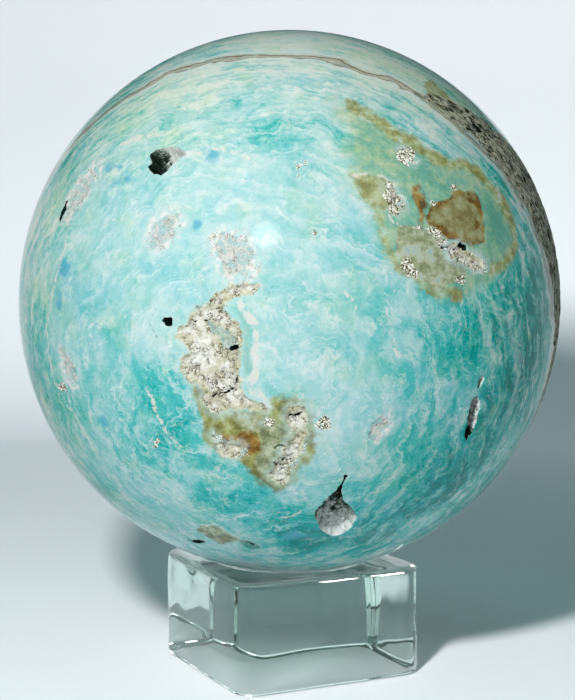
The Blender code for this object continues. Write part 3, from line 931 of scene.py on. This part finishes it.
        wobble = self.add(self.height, self.swing(where, 6, 4.5, 2), self.swing(where, 1.6, 1.0, 4, 0.65))
        broken = self.between(self.noise(where, 2.2, 4, 0.6), 0.28, 0.46)
        for shift, half, share, tone in ((1.3, 1.1, 0.6, WHITE), (-1.0, 0.9, 0.5, WHITE), (0.2, 1.2, 0.6, SEAM_BROWN),
                                         (0.0, 0.28, 0.9, SEAM_DARK), (0.85, 0.22, 0.7, SEAM_DARK)):
            line = self.near(wobble, seam_height + shift, half)
            colour = self.mix(self.times(line, broken, share), colour, tone)
        return colour


# %% The marks of the stone, over its beds
def patch_colours(stone, colour):
    """The upper patch and the lower patch's foot: olive, khaki, rust and grey glassy lobes."""
    where = stone.where
    blotch = stone.add(stone.noise(where, 1.9, 5, 0.65), stone.swing(where, 0.5, 0.25, 4, 0.7))

    def lay(share, paint, zone):
        return stone.mix(stone.times(zone, share), colour, paint)

    drift = stone.add(blotch, stone.swing(where, 5, 0.5, 3), stone.times(stone.kept("deeper"), -0.22))
    khaki = stone.steps(blotch, (0.36, shade(146, 138, 78)), (0.5, shade(176, 174, 116)), (0.62, shade(200, 204, 164)))
    olive = stone.steps(blotch, (0.36, OCHRE), (0.47, OLIVE), (0.58, OLIVE_PALE), (0.7, MILK))
    green = stone.steps(drift, (0.34, shade(122, 182, 156)), (0.46, shade(154, 196, 160)),
                        (0.56, shade(188, 206, 160)), (0.68, shade(212, 224, 198)))
    glass = stone.steps(blotch, (0.36, shade(138, 140, 98)), (0.48, shade(176, 180, 144)), (0.58, shade(204, 208, 182)),
                        (0.68, shade(160, 196, 206)))
    amber = stone.steps(blotch, (0.36, shade(138, 124, 72)), (0.5, shade(166, 162, 112)), (0.62, shade(178, 182, 144)))
    rust = stone.steps(blotch, (0.38, shade(104, 66, 20)), (0.5, RUST), (0.6, shade(178, 144, 70)),
                       (0.7, shade(206, 186, 130)))
    colour = lay(0.75, olive, stone.times(stone.far, stone.between(stone.noise(where, 22, 5, 0.62), 0.56, 0.62)))
    colour = lay(0.8, green, stone.zone("patch", -1.4, 1.2, 1.7))
    colour = lay(0.85, olive, stone.zone("ring", -0.3, 0.9, 1.0))
    colour = lay(0.7, olive, stone.zone("left_edge", -0.5, 0.4, 1.0))
    foot = stone.steps(drift, (0.34, shade(120, 112, 44)), (0.46, shade(150, 148, 68)), (0.58, shade(178, 178, 104)),
                       (0.7, shade(206, 216, 180)))
    colour = lay(0.95, foot, stone.zone("olive", -0.9, 0.4, 1.2))
    colour = lay(0.85, khaki, stone.zone("khaki", -0.4, 0.3, 0.9))
    colour = lay(0.9, glass, stone.zone("grey", -0.4, 0.4, 0.8))
    ear = stone.add(stone.kept("ear"), stone.times(stone.frayed, 0.8))
    heart = stone.between(stone.add(ear, stone.swing(where, 2.2, 5.5, 3)), 0.2, 1.5)
    colour = lay(0.95, stone.mix(heart, rust, amber), stone.between(ear, -0.25, 0.2))
    colour = lay(0.9, rust, stone.zone("rust", -0.3, 0.4, 1.0))
    murk = stone.steps(blotch, (0.38, shade(118, 128, 92)), (0.5, shade(166, 174, 138)), (0.62, shade(206, 214, 186)))
    colour = lay(0.9, murk, stone.zone("murk", -0.3, 0.3, 0.6))
    colour = lay(0.7, shade(132, 192, 172), stone.zone("strip", -0.4, 0.5, 0.7))
    return colour


def crust_colours(stone, colour):
    """White lines and clouds, sugary granules, chalk, the matrix band, and the insides of the pits."""
    where, grain = stone.where, stone.grain
    broken = stone.between(stone.noise(where, 1.1, 5, 0.7), 0.34, 0.50)
    colour = stone.mix(stone.times(stone.zone("cloud", -0.8, 0.9, 1.4), 0.6), colour, MILK)
    colour = stone.mix(stone.times(stone.zone("white_line", -0.15, 0.2, 0.9), broken, 0.85), colour, shade(240, 236, 226))

    patchy = stone.between(stone.noise(where, 1.4, 4, 0.6), 0.44, 0.60)
    # Painted shade in the gaps between crumbs, in patches.
    gap_shade = stone.times(stone.between(stone.crumbs, 0.14, 0.02), patchy)
    streaks = stone.sheets(stone.add(stone.height, stone.swing(where, 3, 1.5)), 0.9, 5)
    matrix = stone.steps(stone.add(stone.times(grain, 0.7), stone.times(streaks, 0.5)),
                         (0.46, MATRIX_DARK), (0.54, MATRIX), (0.64, shade(160, 158, 140)), (0.72, MATRIX_PALE))
    grits = stone.node("CombineXYZ", ((0, stone.times(stone.east, 0.7)), (1, stone.times(stone.north, 0.7)),
                                      (2, stone.height)))
    grits = stone.cells(grits.outputs[0], 0.5, "F1")
    matrix = stone.mix(stone.between(grits, 0.60, 0.68), matrix, MATRIX_PALE)
    matrix = stone.mix(stone.between(grits, 0.30, 0.22), matrix, MATRIX_DARK)
    colour = stone.mix(stone.zone("band", -0.6, 0.6), colour, matrix)

    # The sugar's dark gaps are painted shade.
    sugar = stone.mix(stone.times(gap_shade, 0.7), shade(242, 242, 236), shade(108, 104, 80))
    scattered = stone.between(stone.noise(where, 0.9, 4, 0.65), 0.44, 0.52)
    colour = stone.mix(stone.times(stone.zone("sugar", -1.2, 0.8), 0.6), colour, MILK)
    colour = stone.mix(stone.times(stone.zone("sugar", -0.4, 0.4), scattered), colour, sugar)
    stain = stone.between(stone.noise(where, 2.4, 4, 0.6), 0.48, 0.62)
    chalk = stone.mix(stone.times(stain, 0.55), CHALK_WHITE, shade(214, 206, 160))
    chalk = stone.mix(stone.times(stone.between(stone.kept("chalk"), 1.0, 0.0), 0.45), chalk, shade(196, 194, 132))
    # Painted shade in the gaps between crumbs of chalk.
    chalk = stone.mix(gap_shade, chalk, shade(96, 86, 50))
    chalk = stone.mix(stone.times(stone.between(grain, 0.42, 0.34), 0.4), chalk, CHALK_GREY)
    # Painted shade in the crevices of the chalk.
    chalk = stone.mix(stone.times(stone.between(stone.kept("crevice_shade"), 0.35, 0.95), 0.85), chalk, CHALK_CREVICE_SHADE)
    # Bright grit with painted shade, near black, in the gaps between its grains.
    grit = stone.steps(stone.crumbs, (0.02, shade(58, 60, 34)), (0.08, shade(168, 158, 112)), (0.16, CHALK_WHITE))
    colour = stone.mix(stone.zone("grit", -0.1, 0.15, 1.5), colour, grit)
    colour = stone.mix(stone.times(stone.zone("chalk", -1.6, 0.3, 1.6), 0.6), colour, MILK)
    colour = stone.mix(stone.zone("chalk", -0.25, 0.15, 0.9), colour, chalk)
    dark_line = stone.add(stone.kept("dark_line"), stone.swing(where, 0.5, 0.5, 3))
    colour = stone.mix(stone.between(dark_line, -0.04, 0.05), colour, PIT_DARK)

    # Inside the pits: pale on the shallow side, near black on the deep side and in the gaps between crystals; partly
    # the stone's own tone, partly painted shade.
    pit_tone_and_shade = stone.add(stone.kept("pit_tone_and_shade"), stone.times(stone.add(grain, -0.5), -0.9),
                      stone.times(stone.between(stone.crumbs, 0.12, 0.0), 0.10))
    inner = stone.steps(pit_tone_and_shade, (0.30, WHITE), (0.42, shade(176, 186, 174)), (0.50, shade(96, 116, 102)),
                        (0.60, shade(40, 62, 52)), (0.85, PIT_DARK))
    return stone.mix(stone.between(stone.kept("pit"), 0.03, 0.12), colour, inner)


def stone_finish():
    stone = Stone("banded_aragonite")
    colour = crust_colours(stone, patch_colours(stone, stone.beds()))
    shader = stone.shader.inputs
    colour = stone.mix(1.0, colour, (1 / LAMP_GAIN, 1 / LAMP_GAIN, 1 / LAMP_GAIN, 1.0), "MULTIPLY")
    stone.put(shader["Base Color"], colour)
    dull = stone.math("MAXIMUM", stone.between(stone.kept("pit"), 0.02, 0.1),
                      stone.between(stone.kept("crust"), 0.01, 0.08))
    stone.put(shader["Roughness"], stone.add(stone.times(dull, 0.6), 0.11))
    stone.put(shader["IOR"], 1.55)
    stone.put(shader["Specular IOR Level"], 0.1)
    relief = stone.add(stone.times(stone.grain, 0.6), stone.times(stone.between(stone.crumbs, 0.0, 0.3), 0.15))
    crumbs = stone.node("Bump", (("Height", relief), ("Strength", stone.add(stone.times(dull, 0.85), 0.012)),
                                 ("Distance", 0.5 * MM)))
    stone.put(shader["Normal"], crumbs.outputs["Normal"])
    return stone.material


ball.data.materials.append(stone_finish())
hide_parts("aragonite_sphere")
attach(ball, "root")
print("the stone's finish has", len(ball.data.materials[0].node_tree.nodes), "nodes")

# %% [markdown]
# ## The glass stand
# A hot gob of glass was pressed into a square mould, so the block has soft corners, faintly wavy faces and a
# turned dish on top. It starts as a cube and gets its rounded corners by bevels in edit mode. Its long edges
# are split only after that, because a bevel needs whole edges and the waves need points to move. The dish is
# cut last, by a turned tool, which is a profile spun round the middle.

# %% The block
STAND_SIDE = STAND_HIGH[0] - STAND_LOW[0]
STAND_HEIGHT = STAND_HIGH[2]
STAND_CORNER = 4.0 * MM
STAND_EDGE = 1.0 * MM
DISH_RADIUS = 12.6 * MM
DISH_DEPTH = 3.4 * MM
DISH_LIP = 0.6 * MM
WAVE_SIZE = 8.0 * MM
WAVE_DEPTH = 0.25 * MM


def choose(obj, kind, test):
    """Selects, in edit mode, the edges or faces that pass the test."""
    bpy.ops.mesh.select_mode(type=kind)
    bpy.ops.mesh.select_all(action="DESELECT")
    bpy.ops.object.mode_set(mode="OBJECT")
    mesh = obj.data
    items = mesh.edges if kind == "EDGE" else mesh.polygons
    for item in items:
        item.select = test(item, [mesh.vertices[v].co for v in item.vertices])
    bpy.ops.object.mode_set(mode="EDIT")


clear_selection()
bpy.ops.mesh.primitive_cube_add(size=1, location=(0, 0, STAND_HEIGHT / 2))
stand = bpy.context.object
stand.name = "pressed_glass_block"
stand.scale = (STAND_SIDE, STAND_SIDE, STAND_HEIGHT)
bpy.ops.object.transform_apply(location=True, rotation=False, scale=True)
bpy.ops.object.mode_set(mode="EDIT")
choose(stand, "EDGE", lambda edge, ends: abs(ends[0].z - ends[1].z) > STAND_HEIGHT / 2)
bpy.ops.mesh.bevel(offset=STAND_CORNER, segments=10, affect="EDGES")
choose(stand, "EDGE", lambda edge, ends: abs(ends[0].z - ends[1].z) < MM / 100)
bpy.ops.mesh.bevel(offset=STAND_EDGE, segments=5, affect="EDGES")
choose(stand, "EDGE", lambda edge, ends: abs(ends[0].z - ends[1].z) > STAND_HEIGHT / 2)
bpy.ops.mesh.subdivide(number_cuts=11)
choose(stand, "EDGE", lambda edge, ends: (ends[0] - ends[1]).length > STAND_SIDE / 2)
bpy.ops.mesh.subdivide(number_cuts=15)
bpy.ops.object.mode_set(mode="OBJECT")
print("the block has", len(stand.data.polygons), "faces")


# %% Waves in the pressed sides
def pressed_in(place):
    """Moves a place inwards, level, by the shallow waves that cooling left in the glass."""
    wave = noise.noise(place / WAVE_SIZE + Vector((3.0, 8.0, 1.0)))
    inwards = WAVE_DEPTH * (0.5 + 0.5 * max(-1.0, min(1.0, 1.6 * wave)))
    share = 1 - inwards / (STAND_SIDE / 2)
    return Vector((place.x * share, place.y * share, place.z))


for vertex in stand.data.vertices:
    vertex.co = pressed_in(vertex.co)
print("the sides wave by up to", round(WAVE_DEPTH / MM, 2), "mm")


# %% The dish
def dish_outline():
    """From above the stand down to the axis: a small rounded lip, then the hollow."""
    rim = DISH_RADIUS + DISH_LIP
    points = [(0.0, STAND_HEIGHT + 4 * DISH_LIP), (rim, STAND_HEIGHT + 4 * DISH_LIP)]
    for step in range(7):
        angle = math.pi / 2 * step / 6
        points.append((rim - DISH_LIP * math.sin(angle), STAND_HEIGHT - DISH_LIP * (1 - math.cos(angle))))
    sag = DISH_DEPTH - DISH_LIP
    hollow = (DISH_RADIUS**2 + sag**2) / (2 * sag)
    opening = math.asin(DISH_RADIUS / hollow)
    for step in range(1, 17):
        angle = opening * (1 - step / 16)
        points.append((hollow * math.sin(angle), STAND_HEIGHT - DISH_DEPTH + hollow * (1 - math.cos(angle))))
    return points


clear_selection()
outline = dish_outline()
bpy.ops.mesh.primitive_plane_add(size=MM, location=(0, 0, 0))
dish = bpy.context.object
bpy.ops.object.mode_set(mode="EDIT")
bpy.ops.mesh.delete(type="VERT")
bpy.ops.object.mode_set(mode="OBJECT")
dish.data.from_pydata([(x, 0, z) for x, z in outline], [(i, i + 1) for i in range(len(outline) - 1)], [])
bpy.ops.object.mode_set(mode="EDIT")
bpy.ops.mesh.select_all(action="SELECT")
bpy.ops.mesh.spin(steps=96, angle=2 * math.pi, center=(0, 0, 0), axis=(0, 0, 1))
bpy.ops.mesh.select_all(action="SELECT")
bpy.ops.mesh.remove_doubles(threshold=MM / 100)
bpy.ops.mesh.normals_make_consistent(inside=False)
bpy.ops.object.mode_set(mode="OBJECT")

clear_selection()
stand.select_set(True)
bpy.context.view_layer.objects.active = stand
cut = stand.modifiers.new("dish", "BOOLEAN")
cut.operation = "DIFFERENCE"
cut.object = dish
cut.solver = "EXACT"
bpy.ops.object.modifier_apply(modifier="dish")
bpy.data.objects.remove(dish)
bpy.ops.object.shade_smooth_by_angle(angle=math.radians(25))
print("with its dish the block has", len(stand.data.polygons), "faces")


# %% Glass
def glass_finish():
    finish = Finish("pressed_glass")
    shader = finish.shader
    finish.put(shader.inputs["Base Color"], (1.0, 1.0, 1.0, 1.0))
    finish.put(shader.inputs["Roughness"], 0.0)
    finish.put(shader.inputs["IOR"], 1.5)
    finish.put(shader.inputs["Transmission Weight"], 1.0)
    body = finish.node("VolumeAbsorption", (("Color", shade(120, 214, 184)), ("Density", 9.0)))
    output = finish.tree.nodes["Material Output"]
    finish.tree.links.new(body.outputs[0], output.inputs["Volume"])
    return finish.material


stand.data.materials.clear()
stand.data.materials.append(glass_finish())
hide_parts("glass_stand")
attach(stand, "root")

# %% [markdown]
# ## Floor, light and camera
# The object stands on a pale round floor whose edge curves up into a wall, like a shallow bowl, so that there
# is a plain backdrop whichever way the camera looks. The wall is painted a little darker than the floor,
# because it faces the lamp more squarely and would look brighter.

# %% Floor
FLOOR_RADIUS = 0.30
SWEEP_RADIUS = 0.20
WALL_HEIGHT = 0.02

clear_selection()
bpy.ops.mesh.primitive_circle_add(vertices=96, radius=FLOOR_RADIUS, fill_type="NGON", location=(0, 0, 0))
floor = bpy.context.object
floor.name = "sweep"
bpy.ops.object.mode_set(mode="EDIT")
bpy.ops.mesh.select_mode(type="EDGE")
bpy.ops.mesh.select_all(action="SELECT")
reach = FLOOR_RADIUS
for step in range(12):
    angle = math.pi / 2 * (step + 1) / 12
    wider = FLOOR_RADIUS + SWEEP_RADIUS * math.sin(angle)
    rise = SWEEP_RADIUS * (math.cos(math.pi / 2 * step / 12) - math.cos(angle))
    if step == 0:
        bpy.ops.mesh.select_all(action="DESELECT")
        bpy.ops.object.mode_set(mode="OBJECT")
        for edge in floor.data.edges:
            edge.select = True
        bpy.ops.object.mode_set(mode="EDIT")
    bpy.ops.mesh.extrude_edges_move(TRANSFORM_OT_translate={"value": (0, 0, rise)})
    bpy.ops.transform.resize(value=(wider / reach, wider / reach, 1), center_override=(0, 0, 0))
    reach = wider
bpy.ops.mesh.extrude_edges_move(TRANSFORM_OT_translate={"value": (0, 0, WALL_HEIGHT)})
bpy.ops.mesh.select_all(action="SELECT")
bpy.ops.mesh.normals_make_consistent(inside=True)
bpy.ops.object.mode_set(mode="OBJECT")
bpy.ops.object.shade_smooth_by_angle(angle=math.radians(40))

paper = Finish("pale_paper")
place = paper.node("TexCoord").outputs["Object"]
height = paper.vector("DOT_PRODUCT", place, (0, 0, 1))
paper.put(paper.shader.inputs["Base Color"], paper.mix(paper.between(height, -0.02, 0.16), shade(240, 242, 247),
                                                       shade(206, 208, 211)))
paper.put(paper.shader.inputs["Roughness"], 0.9)
floor.data.materials.append(paper.material)

# %% [markdown]
# ## Light
# One small lamp close to the ball, to the left of the camera, gives the soft-edged shadow on the floor and
# wall and the quick fall into shade at the ball's limb. Its strength is kept even over the distance, so that
# the floor behind the ball is lit as fully as the ball itself. A weak, wide, bluish-green light above lifts
# the shade with the colour that the stone throws back. The lamp doesn't show in reflections; a much weaker
# one stands beside it to give the one soft highlight on the polish. Clear glass shows only what it reflects
# and bends, so two lights reach the stand alone and draw its bright edges.

# %% Lights
world = bpy.data.worlds.new("studio")
bpy.context.scene.world = world
world.use_nodes = True
world.node_tree.nodes["Background"].inputs["Color"].default_value = (0.45, 1.0, 0.95, 1.0)
world.node_tree.nodes["Background"].inputs["Strength"].default_value = 0.05


def soft_light(name, azimuth, elevation, distance, size, power):
    """A round light that looks at the ball. Azimuth 0 stands in front, on the -Y side."""
    around, up = math.radians(azimuth), math.radians(elevation)
    back = Vector((math.sin(around) * math.cos(up), -math.cos(around) * math.cos(up), math.sin(up)))
    data = bpy.data.lights.new(name, "AREA")
    data.shape = "DISK"
    data.size = size
    data.energy = power
    lamp = bpy.data.objects.new(name, data)
    bpy.context.scene.collection.objects.link(lamp)
    lamp.location = BALL_CENTRE + back * distance
    lamp.rotation_euler = back.to_track_quat("Z", "Y").to_euler()
    return lamp


fill = soft_light("top_fill", FACE_AZIMUTH, 85, 1.2, 0.8, 1.3)
fill.data.color = (0.40, 1.0, 0.95)
sparkle = soft_light("highlight", FACE_AZIMUTH - 9, 25, 0.20, 0.030, 0.05)
sparkle.visible_camera = False

# Two lights for the stand alone.
glass_only = bpy.data.collections.new("glass_only")
glass_only.objects.link(stand)
for name, around, elevation, power in (("edge_light_right", 60, 10, 2.0), ("edge_light_back", 160, 12, 0.7)):
    edge_light = soft_light(name, FACE_AZIMUTH + around, elevation, 0.35, 0.08, power)
    edge_light.visible_camera = False
    edge_light.visible_diffuse = False
    edge_light.light_linking.receiver_collection = glass_only

# A light for the stone's far side alone, which the near lamp leaves in the dark.
stone_only = bpy.data.collections.new("stone_only")
stone_only.objects.link(ball)
back_light = soft_light("back_light", FACE_AZIMUTH + 180, 20, 0.6, 0.4, 4.0)
back_light.visible_camera = False
back_light.visible_glossy = False
back_light.light_linking.receiver_collection = stone_only

# The lamp that lights the whole scene, as strong far away as near.
lamp = soft_light("near_lamp", FACE_AZIMUTH - 15, 22, 0.20, 0.020, 8.0 * LAMP_GAIN)
lamp.visible_camera = False
lamp.visible_glossy = False
lamp.data.use_nodes = True
lamp_nodes = lamp.data.node_tree
even = lamp_nodes.nodes.new("ShaderNodeLightFalloff")
even.inputs["Strength"].default_value = 1.0
lamp_nodes.links.new(even.outputs["Constant"], lamp_nodes.nodes["Emission"].inputs["Strength"])

# %% Camera
camera_data = bpy.data.cameras.new("camera")
camera_data.lens = LENS
camera_data.sensor_width = SENSOR
camera = bpy.data.objects.new("camera", camera_data)
bpy.context.scene.collection.objects.link(camera)
camera.location = CAMERA_PLACE
camera.rotation_mode = "QUATERNION"
camera.rotation_quaternion = Matrix((VIEW[0], VIEW[1], -VIEW[2])).transposed().to_quaternion()
bpy.context.scene.camera = camera
bpy.context.scene.view_settings.view_transform = "Standard"
print("the camera stands at", [round(c / MM, 1) for c in camera.location], "mm")
